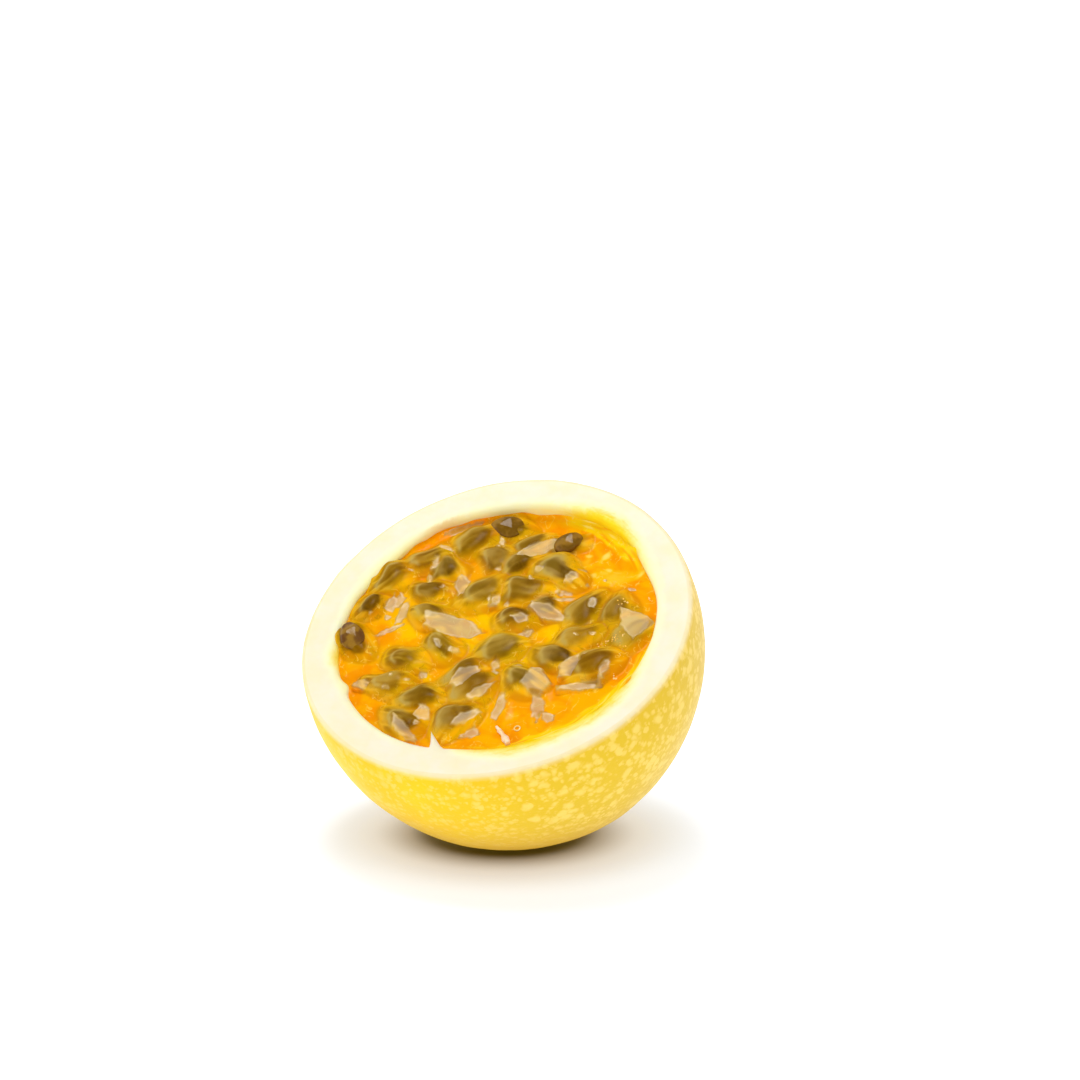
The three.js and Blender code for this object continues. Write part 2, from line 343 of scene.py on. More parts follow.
class Nodes:
    """Adds nodes to a tree."""

    def __init__(self, tree):
        self.tree = tree

    def add(self, kind, settings=None, values=None, out=0):
        """A node of a kind, with its settings made first, and then its values and links."""
        node = self.tree.nodes.new(kind)
        for name, setting in (settings or {}).items():
            setattr(node, name, setting)
        for key, value in (values or {}).items():
            if isinstance(value, Socket):
                self.tree.links.new(value.socket, node.inputs[key])
            else:
                node.inputs[key].default_value = value
        return Socket(self, node.outputs[out]) if node.outputs else node

    def mix(self, share, first, second):
        """A colour that goes from first to second, each a socket or a colour's screen values."""
        values = {0: share}
        for key, colour in ((6, first), (7, second)):
            values[key] = colour if isinstance(colour, Socket) else linear(*colour)
        return self.add("ShaderNodeMix", {"data_type": "RGBA"}, values, out=2)

    def vector(self, operation, first, second, out=0):
        return self.add("ShaderNodeVectorMath", {"operation": operation}, {0: first, 1: second}, out)

    def scaled(self, vector, factor):
        return self.add("ShaderNodeVectorMath", {"operation": "SCALE"}, {0: vector, "Scale": factor})

    def combine(self, x, y, z):
        return self.add("ShaderNodeCombineXYZ", {}, {0: x, 1: y, 2: z})

    def noise(self, place, size, detail=2.0, roughness=0.5, warp=0.0):
        """Cloudy values about 0.5, with features of a size in metres."""
        values = {"Vector": place, "Scale": 1 / size, "Detail": detail}
        values.update({"Roughness": roughness, "Distortion": warp})
        return self.add("ShaderNodeTexNoise", {}, values)

    def thin_lines(self, place, size, thickness, warp):
        """1 along thin winding lines, and 0 elsewhere."""
        away = (self.noise(place, size, 2.0, 0.5, warp) - 0.5).size()
        return 1 - away.step(0.0, thickness)

    def attribute(self, name):
        return self.add("ShaderNodeAttribute", {"attribute_name": name}, out=2)


def linear(red, green, blue):
    """A colour given as screen values from 0 to 255, as Blender's linear values."""
    values = []
    for part in (red / 255, green / 255, blue / 255):
        values.append(part / 12.92 if part <= 0.04045 else ((part + 0.055) / 1.055) ** 2.4)
    return (*values, 1.0)


def new_material(name):
    material = bpy.data.materials.new(name)
    material.use_nodes = True
    material.node_tree.nodes.clear()
    nodes = Nodes(material.node_tree)
    place = nodes.add("ShaderNodeTexCoord", out=3)
    return material, nodes, place


def finish_material(nodes, values):
    shader = nodes.add("ShaderNodeBsdfPrincipled", {}, values)
    nodes.add("ShaderNodeOutputMaterial", {}, {"Surface": shader})


def bearing_rise(bearing, middle, half_width):
    """1 at a bearing, with a smooth fall to 0 on both sides of it."""
    return (((bearing - middle).cos() - 1) * (2 / half_width**2)).exp()


def bump(nodes, height, depth):
    return nodes.add("ShaderNodeBump", {}, {"Strength": 1.0, "Distance": depth, "Height": height})


def sized_tree(name, sizes):
    """A geometry tree with a geometry input and output, and a named input for each size."""
    tree = bpy.data.node_groups.new(name, "GeometryNodeTree")
    tree.interface.new_socket("Geometry", in_out="INPUT", socket_type="NodeSocketGeometry")
    tree.interface.new_socket("Geometry", in_out="OUTPUT", socket_type="NodeSocketGeometry")
    kinds = {float: "NodeSocketFloat", int: "NodeSocketInt", bpy.types.Material: "NodeSocketMaterial"}
    for title, value in sizes.items():
        tree.interface.new_socket(title, in_out="INPUT", socket_type=kinds[type(value)])
    nodes = Nodes(tree)
    entry = tree.nodes.new("NodeGroupInput")
    return nodes, {socket.name: Socket(nodes, socket) for socket in entry.outputs if socket.name}


def end_tree(nodes, geometry, material):
    """Ends a geometry tree: shading is smooth, instances become real, and the material is set."""
    smooth = nodes.add("GeometryNodeSetShadeSmooth", {}, {"Geometry": geometry})
    real = nodes.add("GeometryNodeRealizeInstances", {}, {0: smooth})
    values = {"Geometry": real, "Material": material}
    nodes.add("NodeGroupOutput", {}, {0: nodes.add("GeometryNodeSetMaterial", {}, values)})


def grown_mesh(name, seedling, nodes, sizes):
    """Runs a geometry tree on a mesh, and gives the result as a plain mesh."""
    source = new_object(name + "_source", seedling)
    modifier = source.modifiers.new("Grow", "NODES")
    modifier.node_group = nodes.tree
    for item in nodes.tree.interface.items_tree:
        if item.in_out == "INPUT" and item.name in sizes:
            modifier[item.identifier] = sizes[item.name]
    graph = bpy.context.evaluated_depsgraph_get()
    mesh = bpy.data.meshes.new_from_object(source.evaluated_get(graph))
    source.modifiers.remove(modifier)
    bpy.data.objects.remove(source)
    mesh.name = name
    return mesh


def stored(nodes, name, kind="FLOAT"):
    return nodes.add("GeometryNodeInputNamedAttribute", {"data_type": kind}, {"Name": name})


def pushed_out(nodes, geometry, height):
    """Moves a surface out along its normals."""
    offset = nodes.scaled(nodes.add("GeometryNodeInputNormal"), height)
    return nodes.add("GeometryNodeSetPosition", {}, {"Geometry": geometry, "Offset": offset})


def new_object(name, mesh):
    piece = bpy.data.objects.new(name, mesh)
    bpy.context.scene.collection.objects.link(piece)
    return piece


def add_attribute(mesh, name, values, kind="FLOAT"):
    attribute = mesh.attributes.new(name, kind, "POINT")
    key = "vector" if kind == "FLOAT_VECTOR" else "value"
    attribute.data.foreach_set(key, np.ascontiguousarray(values, np.float32).ravel())


# ---------------------------------------------------------------- shapes shared by peel and pulp


def wall_point(wall, angle):
    """Radius and level of a wall at an angle below its widest ring, where 90 degrees is the pole."""
    power = 2 / ROUNDNESS
    down = math.copysign(abs(math.sin(angle)) ** power, angle)
    return wall["radius"] * max(math.cos(angle), 0) ** power, WIDEST_LEVEL - wall["depth"] * down


def wall_angle(wall, level):
    down = (WIDEST_LEVEL - level) / wall["depth"]
    return math.copysign(math.asin(abs(down) ** (ROUNDNESS / 2)), down)


def wall_profile(wall, low_angle, high_angle, rows):
    return [wall_point(wall, angle) for angle in np.linspace(low_angle, high_angle, rows)]


def rounded_edge(wall_radius, size, inwards, rows):
    """A quarter turn from the top of a wall up to the cut face."""
    points = []
    for turn in np.linspace(0, math.pi / 2, rows + 1)[1:]:
        across = wall_radius - inwards * size * (1 - math.cos(turn))
        points.append((across, -size * (1 - math.sin(turn))))
    return points


def smooth_step(value, start, end):
    share = np.clip((value - start) / (end - start), 0, 1)
    return share * share * (3 - 2 * share)


def bell(value, middle, half_width):
    """1 where a value is at the middle, with a smooth fall to 0 on both sides of it."""
    return np.exp(-(((value - middle) / half_width) ** 2))


def nearness(bearing, other, half_width):
    return bell(np.arctan2(np.sin(bearing - other), np.cos(bearing - other)), 0, half_width)


def along_and_across(east, north, heading):
    """How far a place lies along a heading, and how far across it."""
    cosine, sine = math.cos(heading), math.sin(heading)
    return east * cosine + north * sine, north * cosine - east * sine


# ---------------------------------------------------------------- peel


def peel_outline():
    """Rows of the peel's outline, from the pole of the skin over the cut to the cavity's pole."""
    skin_top = wall_angle(SKIN, -SKIN_EDGE_ROUND)
    cavity_top = wall_angle(CAVITY, -PITH_EDGE_ROUND)
    skin = wall_profile(SKIN, math.pi / 2, skin_top, SKIN_ROWS)
    skin_edge = rounded_edge(skin[-1][0], SKIN_EDGE_ROUND, 1, SKIN_EDGE_ROWS)
    cavity = wall_profile(CAVITY, math.pi / 2, cavity_top, CAVITY_ROWS)
    pith_edge = rounded_edge(cavity[-1][0], PITH_EDGE_ROUND, -1, PITH_EDGE_ROWS)
    cut = np.linspace(skin_edge[-1][0], pith_edge[-1][0], CUT_ROWS + 2)[1:-1]
    rows = skin + skin_edge + [(radius, 0.0) for radius in cut] + pith_edge[::-1] + cavity[::-1]
    outside = len(skin) + len(skin_edge)
    levels = np.array([level for _, level in rows[:outside]])
    in_skin = list(smooth_step(-levels, *SKIN_FADE)) + [0.0] * (len(rows) - outside)
    in_cavity = [0.0] * (outside + len(cut))
    in_cavity += list(np.linspace(0, 1, len(pith_edge))) + [1.0] * len(cavity)
    return rows, in_skin, in_cavity


def outline_grid(nodes, sizes):
    """A grid with a row for each row of the outline, and what the outline says at each of its points."""
    rows = sizes["Rows"]
    grid = nodes.add("GeometryNodeMeshGrid", {}, {"Vertices X": sizes["Around"], "Vertices Y": rows})
    spot = nodes.add("GeometryNodeInputPosition")
    row = spot.math("ROUND", (spot.part(1) + 0.5) * (rows - 1))
    bearing = (spot.part(0) + 0.5) * math.tau

    def from_outline(value, kind):
        values = {"Geometry": sizes["Geometry"], "Value": value, "Index": row}
        return nodes.add("GeometryNodeSampleIndex", {"data_type": kind, "domain": "POINT"}, values)

    outline = from_outline(nodes.add("GeometryNodeInputPosition"), "FLOAT_VECTOR")
    in_skin = from_outline(stored(nodes, "skin"), "FLOAT")
    in_cavity = from_outline(stored(nodes, "cavity"), "FLOAT")
    for name, value in (("skin", in_skin), ("cavity", in_cavity)):
        values = {"Geometry": grid, "Name": name, "Value": value}
        grid = nodes.add("GeometryNodeStoreNamedAttribute", {"data_type": "FLOAT"}, values)
    return grid, bearing, outline.part(0), outline.part(2), in_cavity


def peel_tree(sizes):
    """Turns the outline about the fruit's axis, with lobes, ridges and a hand-cut unevenness."""
    nodes, sizes = sized_tree("peel_turning", sizes)
    grid, bearing, radius, level, in_cavity = outline_grid(nodes, sizes)
    outer = radius.step(0.4 * CAVITY["radius"], 0.95 * CAVITY["radius"])
    ridges = 0.0
    for ridge in RIDGE_BEARINGS:
        ridges = ridges + bearing_rise(bearing, ridge, RIDGE_HALF_WIDTH)
    flaps, lean = 0.0, 0.0
    for middle, half_width, slant, share in FLAPS:
        flap = bearing_rise(bearing, math.radians(middle), math.radians(half_width)) * share
        flap = flap * level.step(-7 * MM, -1 * MM) * outer * in_cavity
        flaps = flaps + flap
        lean = lean + flap * math.radians(slant)
    radius = radius - ridges * sizes["Ridge Height"] * outer * in_cavity - flaps * sizes["Flap Reach"]
    radius = radius * (1 + sizes["Lobe Share"] * (3 * (bearing - LOBE_BEARING)).cos())
    bearing = bearing + lean
    turned = nodes.combine(radius * bearing.cos(), radius * bearing.sin(), level)
    grid = nodes.add("GeometryNodeSetPosition", {}, {"Geometry": grid, "Position": turned})
    grid = nodes.add("GeometryNodeMergeByDistance", {}, {"Geometry": grid, "Distance": 0.002 * MM})
    grid = uneven_peel(nodes, sizes, grid, in_cavity)
    stand = {"Geometry": grid, "Translation": CUT_CENTRE, "Rotation": (LEAN, 0, 0)}
    grid = nodes.add("GeometryNodeTransform", {}, stand)
    place = nodes.add("GeometryNodeInputPosition")
    pressed = nodes.combine(place.part(0), place.part(1), place.part(2).at_least(0.0))
    grid = nodes.add("GeometryNodeSetPosition", {}, {"Geometry": grid, "Position": pressed})
    end_tree(nodes, grid, sizes["Material"])
    return nodes


def uneven_peel(nodes, sizes, peel, in_cavity):
    """Swells and ripples the peel, and tears the wall of its cavity."""
    place = nodes.add("GeometryNodeInputPosition")
    swell = (nodes.noise(place, 16 * MM, 1.0) - 0.5) * sizes["Swelling"]
    ripple = (nodes.noise(place, 5 * MM, 2.0) - 0.5) * sizes["Rippling"]
    tear = (nodes.noise(place, 1.6 * MM, 2.0) - 0.5) * sizes["Tearing"] * in_cavity
    return pushed_out(nodes, peel, swell + ripple + tear)


def make_peel():
    rows, in_skin, in_cavity = peel_outline()
    outline = bpy.data.meshes.new("peel_outline")
    outline.from_pydata([(radius, 0, level) for radius, level in rows], [], [])
    add_attribute(outline, "skin", in_skin)
    add_attribute(outline, "cavity", in_cavity)
    sizes = {
        "Around": PEEL_AROUND + 1,
        "Rows": len(rows),
        "Ridge Height": RIDGE_HEIGHT,
        "Flap Reach": FLAP_REACH,
        "Lobe Share": LOBE_SHARE,
        "Swelling": 0.5 * MM,
        "Rippling": 0.16 * MM,
        "Tearing": 0.5 * MM,
        "Material": peel_material(),
    }
    mesh = grown_mesh("fruit_peel", outline, peel_tree(sizes), sizes)
    return new_object("fruit_peel", mesh)


def own_place(nodes, place):
    """Places in the fruit's own frame, before it is leaned and lifted."""
    values = {"Vector": place, "Location": CUT_CENTRE, "Rotation": (LEAN, 0, 0)}
    return nodes.add("ShaderNodeMapping", {"vector_type": "TEXTURE"}, values)


def blots(nodes, place, cell, fullness):
    """Rounded, uneven spots, at most one in each cell of a size."""
    values = {"Vector": place, "Scale": 1.5 / cell, "Detail": 1.0}
    cloud = nodes.add("ShaderNodeTexNoise", {}, values, out=1)
    shift = nodes.scaled(nodes.vector("SUBTRACT", cloud, (0.5, 0.5, 0.5)), 0.8 * cell)
    cells = {"Vector": nodes.vector("ADD", place, shift), "Scale": 1 / cell}
    distance = nodes.add("ShaderNodeTexVoronoi", {}, cells)
    radius = (distance.other("Color").part(0) - 1 + fullness) * 0.6
    return (radius - distance).step(-0.24, 0.22)


def skin_colour(nodes, place):
    """Golden skin with pale spots and a few dark dots, and where its larger spots are."""
    cloud = nodes.noise(place, 16 * MM, 3.0, 0.6)
    gold = nodes.mix(cloud.step(0.35, 0.65), *GOLDEN_SKIN)
    side = (place.part(0) + (cloud - 0.5) * 24 * MM).step(-6 * MM, 26 * MM)
    gold = nodes.mix(side * 0.9, gold, DULLER_SKIN)
    patchy = nodes.noise(place, 6 * MM, 2.0) - 0.5
    large = blots(nodes, place, 1.9 * MM, 0.76 + patchy * 0.7 + side * 0.14)
    small = blots(nodes, place, 1.1 * MM, 0.88 + patchy * 0.7 + side * 0.1)
    share = large.at_least(small * 0.85) * (0.5 + 0.16 * side)
    speckled = nodes.mix(share, gold, SKIN_SPOT)
    # Painted shade: the skin turns darker towards its bottom, near the table.
    speckled = nodes.mix(0.85 - 0.85 * place.part(2).step(2 * MM, 15 * MM), speckled, SKIN_SHADE_NEAR_TABLE)
    cells = {"Vector": place, "Scale": 1 / (6 * MM)}
    dot = 1 - nodes.add("ShaderNodeTexVoronoi", {}, cells).step(0.015, 0.04)
    dotted = nodes.mix(dot * 0.6, speckled, SKIN_DOT)
    from_pole = nodes.vector("DISTANCE", place, POLE, out=1) + patchy * 1.2 * MM
    scarred = nodes.mix(1 - from_pole.step(1.4 * MM, 4.5 * MM), dotted, ROUND_SCAR)
    return nodes.mix(1 - from_pole.step(0.9 * MM, 1.6 * MM), scarred, STEM_SCAR), large


def pith_colour(nodes, own):
    """White pith, yellow where pulp clings to its wall and along parts of its rim, and its fibres."""
    east, north, level = own.part(0), own.part(1), own.part(2)
    radius = (east * east + north * north) ** 0.5
    bearing = own.math("ARCTAN2", north, east)

    def along_stretches(stretches):
        total = 0.0
        for middle, half_width, share in stretches:
            total = total + bearing_rise(bearing, math.radians(middle), math.radians(half_width)) * share
        return total

    cloud = nodes.noise(own, 7 * MM, 3.0, 0.6)
    fibres = nodes.noise(own, 2.2 * MM, 3.0, 0.65, 0.6)
    along_rim = nodes.combine(bearing * 6 * MM, radius - level, level * 0.5)
    threads = nodes.noise(along_rim, 0.9 * MM, 3.0, 0.65, 0.4)
    white = nodes.mix(cloud.step(0.3, 0.7), *WHITE_PITH)
    clinging = along_stretches(STAINS)
    reach = along_stretches(STAIN_REACHES) * MM
    inner = STAIN_START - radius - level * 0.4 + reach + (fibres - 0.5) * 1.6 * MM
    pale = nodes.mix(inner.step(-0.4 * MM, 2.0 * MM), white, PALE_PITH)
    deep = nodes.mix(clinging.step(0.0, 0.7), *STAINED_PITH)
    stained = nodes.mix(inner.step(0.5 * MM, 4.0 * MM), pale, deep)
    streaks = threads.step(0.42, 0.6) * clinging * inner.step(0.8 * MM, 3.6 * MM)
    stained = nodes.mix(streaks * 0.8, stained, STAIN_STREAK)
    dried = along_stretches(DRIED_FILM) * inner.step(0.8 * MM, 1.8 * MM)
    return nodes.mix(dried * 0.7, stained, DRIED_JUICE), fibres


def peel_material():
    material, nodes, place = new_material("waxy_skin_and_pith")
    skin = nodes.attribute("skin")
    yellow, blot = skin_colour(nodes, place)
    white, fibres = pith_colour(nodes, own_place(nodes, place))
    pores = nodes.noise(place, 0.7 * MM, 2.0, 0.5)
    height = (pores * 0.5 + blot * 0.12) * skin + fibres * (1 - skin) * 0.5
    finish_material(
        nodes,
        {
            "Base Color": nodes.mix(skin, white, yellow),
            "Roughness": 0.6 - 0.2 * skin,
            "Specular IOR Level": 0.13,
            "Subsurface Weight": 0.3,
            "Subsurface Radius": (2.4, 2.0, 1.2),
            "Subsurface Scale": 0.9 * MM,
            "Normal": bump(nodes, height, 0.12 * MM),
        },
    )
    return material


# ---------------------------------------------------------------- pulp


class Draw:
    """A repeatable draw of numbers from -1 to 1."""

    def __init__(self, seed):
        self.state = seed

    def __call__(self):
        self.state = (self.state * 1664525 + 1013904223) % 2**32
        return self.state / 2**31 - 1


class Places:
    """Places on the cut face, and where slow swirls take what lies there."""

    def __init__(self, x, y):
        self.x, self.y = np.asarray(x, float), np.asarray(y, float)
        self.radius = np.hypot(self.x, self.y)
        self.bearing = np.arctan2(self.y, self.x)
        self.east = self.x + SWIRL * self.cloud(SWIRL_SIZE, 11)
        self.north = self.y + SWIRL * self.cloud(SWIRL_SIZE, 12)

    def cloud(self, size, seed):
        """Cloudy values about 0, with features of a size."""
        return cloud_at(self.x / size, self.y / size, seed)


def cloud_at(x, y, seed):
    points = np.stack([x, y, np.full_like(x, 0.4)], axis=-1).reshape(-1, 3)
    offset = Vector((seed * 7.13, seed * 3.71, seed * 1.37))
    return np.array([noise.noise(Vector(point) + offset) for point in points]).reshape(x.shape)


def polar_place(radius, bearing):
    turn = math.radians(bearing)
    return Places(radius * MM * math.cos(turn), radius * MM * math.sin(turn))


def soft_highest(levels, softness):
    """The highest of several surfaces, which run into each other softly."""
    highest = np.max(levels, axis=0)
    return highest + softness * np.log(np.exp((levels - highest) / softness).sum(axis=0))


def juice_level(places):
    """The level of the juice between the sacs."""
    outer = smooth_step(places.radius, SUNK_FROM, SUNK_TO)
    return PULP_LEVEL - SUNK_DEPTH * outer * nearness(places.bearing, SUNK_BEARING, SUNK_HALF_WIDTH)


class Sac:
    """A translucent sac of juice with one seed in it."""

    def __init__(self, radius, bearing, turn, shows, draw):
        self.middle = polar_place(radius, bearing)
        self.heading = math.radians(bearing + turn)
        self.shows = shows
        self.size = 1 + SAC_SPREAD * draw()
        self.rise = SAC_LEVEL_SPREAD * draw()
        self.tilt = SEED_TILT * draw()
        self.tint = 0.5 + 0.5 * draw()
        self.grain = draw()

    def shares(self, places, long, wide, taper):
        """Places as shares of an oval's half length and half width."""
        east, north = places.east - self.middle.east, places.north - self.middle.north
        along, across = along_and_across(east, north, self.heading)
        u = along / (long * self.size)
        return u, across / (wide * self.size * (1 - taper * np.clip(u, -1, 1)))

    def level(self, places):
        u, v = self.shares(places, SAC_LONG, SAC_WIDE, SAC_TAPER)
        dome = 1 - (u * u + v * v) ** SAC_FLATNESS
        return juice_level(self.middle) + self.rise + SAC_RISE * dome

    def seed_level(self, sacs):
        """The level of the seed's middle."""
        return float(sac_surface(sacs, self.middle)) + SEED_PROUD - SEED_TALL

    def seed_dome(self, places, sacs):
        u, v = self.shares(places, SEED_LONG, SEED_WIDE, 0.0)
        q = u * u + v * v
        dome = self.seed_level(sacs) - SEED_COVER + SEED_TALL * np.sqrt(np.clip(1 - q, 0, 1))
        return np.where(q < 1, dome, -1.0)

    def looks(self, places, wander):
        """How the sac looks at every place, as named values from 0 to 1."""
        east, north = places.x - self.middle.x, places.y - self.middle.y
        lit = along_and_across(east, north, LIT_SIDE_BEARING)[0] / (SEED_WIDE * self.size)
        return {**self.seed_looks(places, wander, lit), **self.flesh_looks(places, wander, lit)}

    def seed_looks(self, places, wander, lit):
        blur = 0.6 - 0.45 * self.shows
        painted = 0.6 if self.shows >= BARE_SHOW else 0.35 + 0.65 * self.shows
        spread = np.hypot(*self.shares(places, SEED_LONG, SEED_WIDE, 0.2)) + 0.16 * wander
        return {
            "seed": painted * (1 - smooth_step(spread, 1.0 - blur, 1.12 + 0.3 * blur)),
            # Paler towards the lit side of the seed: flesh over it, with a painted sheen.
            "veil_and_sheen": smooth_step(lit + 0.9 * wander + 0.6 * self.grain, -1.1, 1.0),
            # Painted light: paler flesh round the lit side of the seed.
            "lit_hood": bell(spread, 1.02, 0.2) * smooth_step(lit + 0.3 * wander, 0.1, 0.8),
        }

    def flesh_looks(self, places, wander, lit):
        u, v = self.shares(places, SAC_LONG, SAC_WIDE, SAC_TAPER)
        reach = np.hypot(u, v) + 0.08 * wander
        meridian = v / np.sqrt(np.clip(1.3 - u * u, 0.25, 2))
        lines = cloud_at(meridian * 2.2, u * 0.9, 20 + 9 * self.grain)
        fine_lines = cloud_at(meridian * 5.5, u * 1.6, 40 + 9 * self.grain)
        return {
            "flesh": 1 - smooth_step(reach - 0.12 * lit, 0.4, 0.98),
            "rim": bell(reach, 0.9, 0.1) * smooth_step(lit, -0.4, 1.6),
            "thread": bell(lines, 0, 0.09) * smooth_step(fine_lines, -0.1, 0.3),
            "flow": np.clip(0.5 + 0.75 * lines + 0.42 * fine_lines, 0, 1),
            "tint": np.full_like(u, self.tint),
            "gold": np.ones_like(u),
        }


def sac_surface(sacs, places):
    levels = np.array([juice_level(places), *(sac.level(places) for sac in sacs)])
    return soft_highest(levels, SAC_CREASE)


class Film:
    """A film of juice: a flat, sloping facet with a few uneven corners."""

    def __init__(self, radius, bearing, half_length, half_width, heading, draw):
        self.middle = polar_place(radius, bearing)
        self.half_length, self.half_width = half_length * MM, half_width * MM
        self.heading = math.radians(heading)
        count = 6 if draw() > 0 else 5
        angles = [(i + 0.5 + 0.3 * draw()) * math.tau / count for i in range(count)]
        reaches = [1.1 + 0.3 * draw() for _ in range(count)]
        self.angles = np.array(angles)
        self.corners = np.array([(r * math.cos(a), r * math.sin(a)) for a, r in zip(angles, reaches)])

    def distance(self, places):
        """0 at the middle of the film and 1 along its edge."""
        east, north = places.x - self.middle.x, places.y - self.middle.y
        along, across = along_and_across(east, north, self.heading)
        u, v = along / self.half_length, across / self.half_width
        after = np.searchsorted(self.angles, np.arctan2(v, u) % math.tau) % len(self.angles)
        first, second = self.corners[after - 1], self.corners[after]
        side = second - first
        at_edge = first[..., 0] * side[..., 1] - first[..., 1] * side[..., 0]
        return (u * side[..., 1] - v * side[..., 0]) / at_edge

    def fall(self, places):
        east, north = places.x - self.middle.x, places.y - self.middle.y
        return -FILM_SLOPE * along_and_across(east, north, FILM_FALL)[0]

    def level(self, places, sacs):
        """The level of the film, which lies above most of what is under it."""
        steps = np.linspace(-0.7, 0.7, 7)
        along, across = np.meshgrid(steps * self.half_length, steps * self.half_width)
        east, north = along_and_across(along, across, -self.heading)
        under = Places(self.middle.x + east, self.middle.y + north)
        middle_level = np.quantile(sac_surface(sacs, under) - self.fall(under), FILM_FILL)
        return middle_level + self.fall(places)


def scattered_glints(draw):
    glints = []
    for _ in range(GLINTS):
        radius = GLINT_REACH * math.sqrt(0.5 + 0.5 * draw())
        length = GLINT_SIZE * (1 + 0.4 * draw())
        glints.append(Film(radius, 180 * draw(), length, 0.7 * length, 90 * draw(), draw))
    return glints


def disc_grid(side):
    """A square grid pressed evenly into a disc: its radius from 0 to 1, and its bearings."""
    steps = np.linspace(-1, 1, side + 1)
    a, b = np.meshgrid(steps, steps)
    wide = np.abs(a) > np.abs(b)
    radius = np.where(wide, a, b)
    safe = np.where(radius == 0, 1, radius)
    turn = np.where(wide, b / safe, 2 - a / safe) * (math.pi / 4)
    return np.abs(radius), np.where(radius < 0, turn + math.pi, turn)


def grid_faces(side):
    index = np.arange((side + 1) ** 2).reshape(side + 1, side + 1)
    corners = (index[:-1, :-1], index[:-1, 1:], index[1:, 1:], index[1:, :-1])
    faces = np.stack(corners, axis=-1).reshape(-1, 4)
    border = np.concatenate([index[0, :-1], index[:-1, -1], index[-1, :0:-1], index[:0:-1, 0]])
    return faces.tolist(), border


def side_faces(border, first, rings):
    """Faces from a border down over rings of points as long as it, and to one last point."""
    count = len(border)
    above = list(border)
    faces = []
    for ring in range(rings):
        below = list(range(first + ring * count, first + (ring + 1) * count))
        for i in range(count):
            j = (i + 1) % count
            faces.append((above[j], above[i], below[i], below[j]))
        above = below
    last = first + rings * count
    faces.extend((above[(i + 1) % count], above[i], last) for i in range(count))
    return faces


def pulp_wall_radius(bearing):
    """The radius of the pulp's edge, which follows the lobes and ridges of the cavity."""
    ridges = sum(nearness(bearing, ridge, RIDGE_HALF_WIDTH) for ridge in RIDGE_BEARINGS)
    lobes = 1 + LOBE_SHARE * np.cos(3 * (bearing - LOBE_BEARING))
    return (CAVITY["radius"] - RIDGE_HEIGHT * ridges) * lobes + PULP_REACH


def pulp_surface(sacs, films, places, to_wall):
    """The level of the wet surface at every place, and how it looks there, from 0 to 1 by name."""
    wander = places.cloud(1.3 * MM, 3)
    waves = WAVE_HEIGHT * places.cloud(WAVE_SIZE, 1) + 0.04 * MM * wander
    domes = np.max([sac.seed_dome(places, sacs) for sac in sacs], axis=0)
    level = soft_highest(np.array([sac_surface(sacs, places) + waves, domes]), SEED_BLEND)
    looks = sac_looks(sacs, places, wander)
    level, looks["film"], looks["edge"] = film_surface(level, sacs, films, places)
    clinging = sum(nearness(places.bearing, middle, half_width) for middle, half_width in CLINGING)
    clinging = np.clip(1.6 * clinging, 0, 1)
    sunk = nearness(places.bearing, SUNK_BEARING, SUNK_HALF_WIDTH)
    climb = PULP_CLIMB * (1 + 0.8 * clinging + 0.9 * sunk + 1.2 * places.cloud(4 * MM, 13))
    level += climb * np.exp(-to_wall / (PULP_CLIMB * (1 + 0.8 * clinging)))
    looks["torn"] = torn_flesh(places, wander)
    looks["fibre"] = wall_fibres(places, to_wall) * clinging
    looks["middle"] = 1 - smooth_step(places.radius, 14 * MM, 24 * MM)
    return level, looks


def film_surface(level, sacs, films, places):
    """The level where films lie on it, and how clearly a film and a film's edge show at every place."""
    shows, edge = np.zeros_like(level), np.zeros_like(level)
    ragged = FILM_RAGGEDNESS * places.cloud(0.8 * MM, 5)
    for film in films:
        beyond = (film.distance(places) - 1) * film.half_width + ragged
        inside = 1 - smooth_step(beyond, 0, FILM_EDGE)
        level = level + (film.level(places, sacs) - level) * inside
        shows = np.maximum(shows, 1 - smooth_step(beyond, 0, 0.5 * FILM_EDGE))
        edge = np.maximum(edge, bell(beyond, -0.1 * MM, 0.16 * MM))
    return level, shows, edge


def wall_fibres(places, to_wall):
    """Fibres of flesh that run along the wall."""
    reach = smooth_step(to_wall + 0.9 * MM * places.cloud(2.5 * MM, 10), 0.9 * MM, 3.0 * MM)
    fibres = cloud_at(to_wall / (0.45 * MM), places.bearing * 7, 9)
    return (1 - reach) * np.clip(0.7 + 0.9 * fibres, 0, 1)


def torn_flesh(places, wander):
    """Pale grains of flesh in the juice, and soft streaks between them."""
    along_spoke = cloud_at(places.radius / (5 * MM), places.bearing * 8, 8)
    streaks = smooth_step(along_spoke + 0.3 * wander, -0.2, 0.6)
    torn = smooth_step(places.radius, 17 * MM, 22 * MM) * nearness(places.bearing, TORN_BEARING, 0.5)
    whole = 0.6 * torn * streaks
    for radius, bearing, half_length, half_width in GRAINS:
        middle = polar_place(radius, bearing)
        east, north = places.x - middle.x, places.y - middle.y
        along, across = along_and_across(east, north, math.radians(bearing))
        spread = np.hypot(along / (half_length * MM), across / (half_width * MM)) + 0.6 * wander
        whole = np.maximum(whole, 1 - smooth_step(spread, -0.3, 1.3))
    return np.clip(whole, 0, 1)


